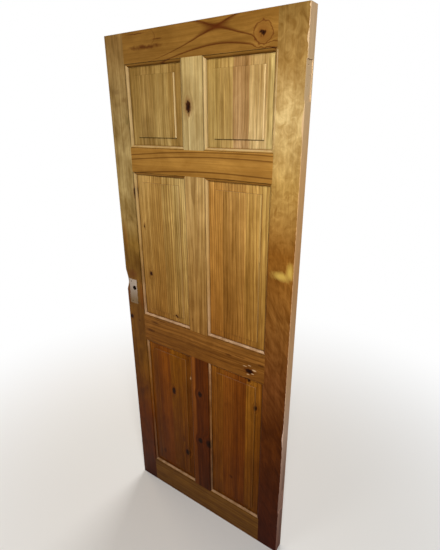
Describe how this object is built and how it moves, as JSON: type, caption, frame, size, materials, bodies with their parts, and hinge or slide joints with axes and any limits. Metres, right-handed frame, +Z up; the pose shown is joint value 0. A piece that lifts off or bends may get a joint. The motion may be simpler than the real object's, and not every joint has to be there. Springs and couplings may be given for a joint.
{
  "type": "six-panel door leaf",
  "caption": "Six-panel varnished softwood door leaf of moulded stiles, rails and muntins with raised and fielded panels, with hinge recesses and lever and latch holes.",
  "frame": {"origin": "middle of the bottom edge, half way through the thickness", "axes": "+X towards the hinge edge, +Y from the outer face to the inner face, +Z up"},
  "size_m": [0.762, 0.044, 1.981],
  "materials": {
    "frame_pine": "clear gloss varnish, aged to a deep gold; bare on the hinge edge",
    "panel_pine": "clear gloss varnish over glued-up staves of differing tone",
    "beech_dowel": "plain turned beech, hidden in the joints"
  },
  "bodies": {
    "root": {"lock_stile": "frame_pine", "hinge_stile": "frame_pine", "top_rail": "frame_pine", "frieze_rail": "frame_pine", "lock_rail": "frame_pine", "bottom_rail": "frame_pine", "top_muntin": "frame_pine", "middle_muntin": "frame_pine", "bottom_muntin": "frame_pine", "upper_left_panel": "panel_pine", "upper_right_panel": "panel_pine", "middle_left_panel": "panel_pine", "middle_right_panel": "panel_pine", "lower_left_panel": "panel_pine", "lower_right_panel": "panel_pine", "top_rail_lock_side_dowels": "beech_dowel", "top_rail_hinge_side_dowels": "beech_dowel", "frieze_rail_lock_side_dowels": "beech_dowel", "frieze_rail_hinge_side_dowels": "beech_dowel", "lock_rail_lock_side_dowels": "beech_dowel", "lock_rail_hinge_side_dowels": "beech_dowel", "bottom_rail_lock_side_dowels": "beech_dowel", "bottom_rail_hinge_side_dowels": "beech_dowel"}
  },
  "joints": []
}
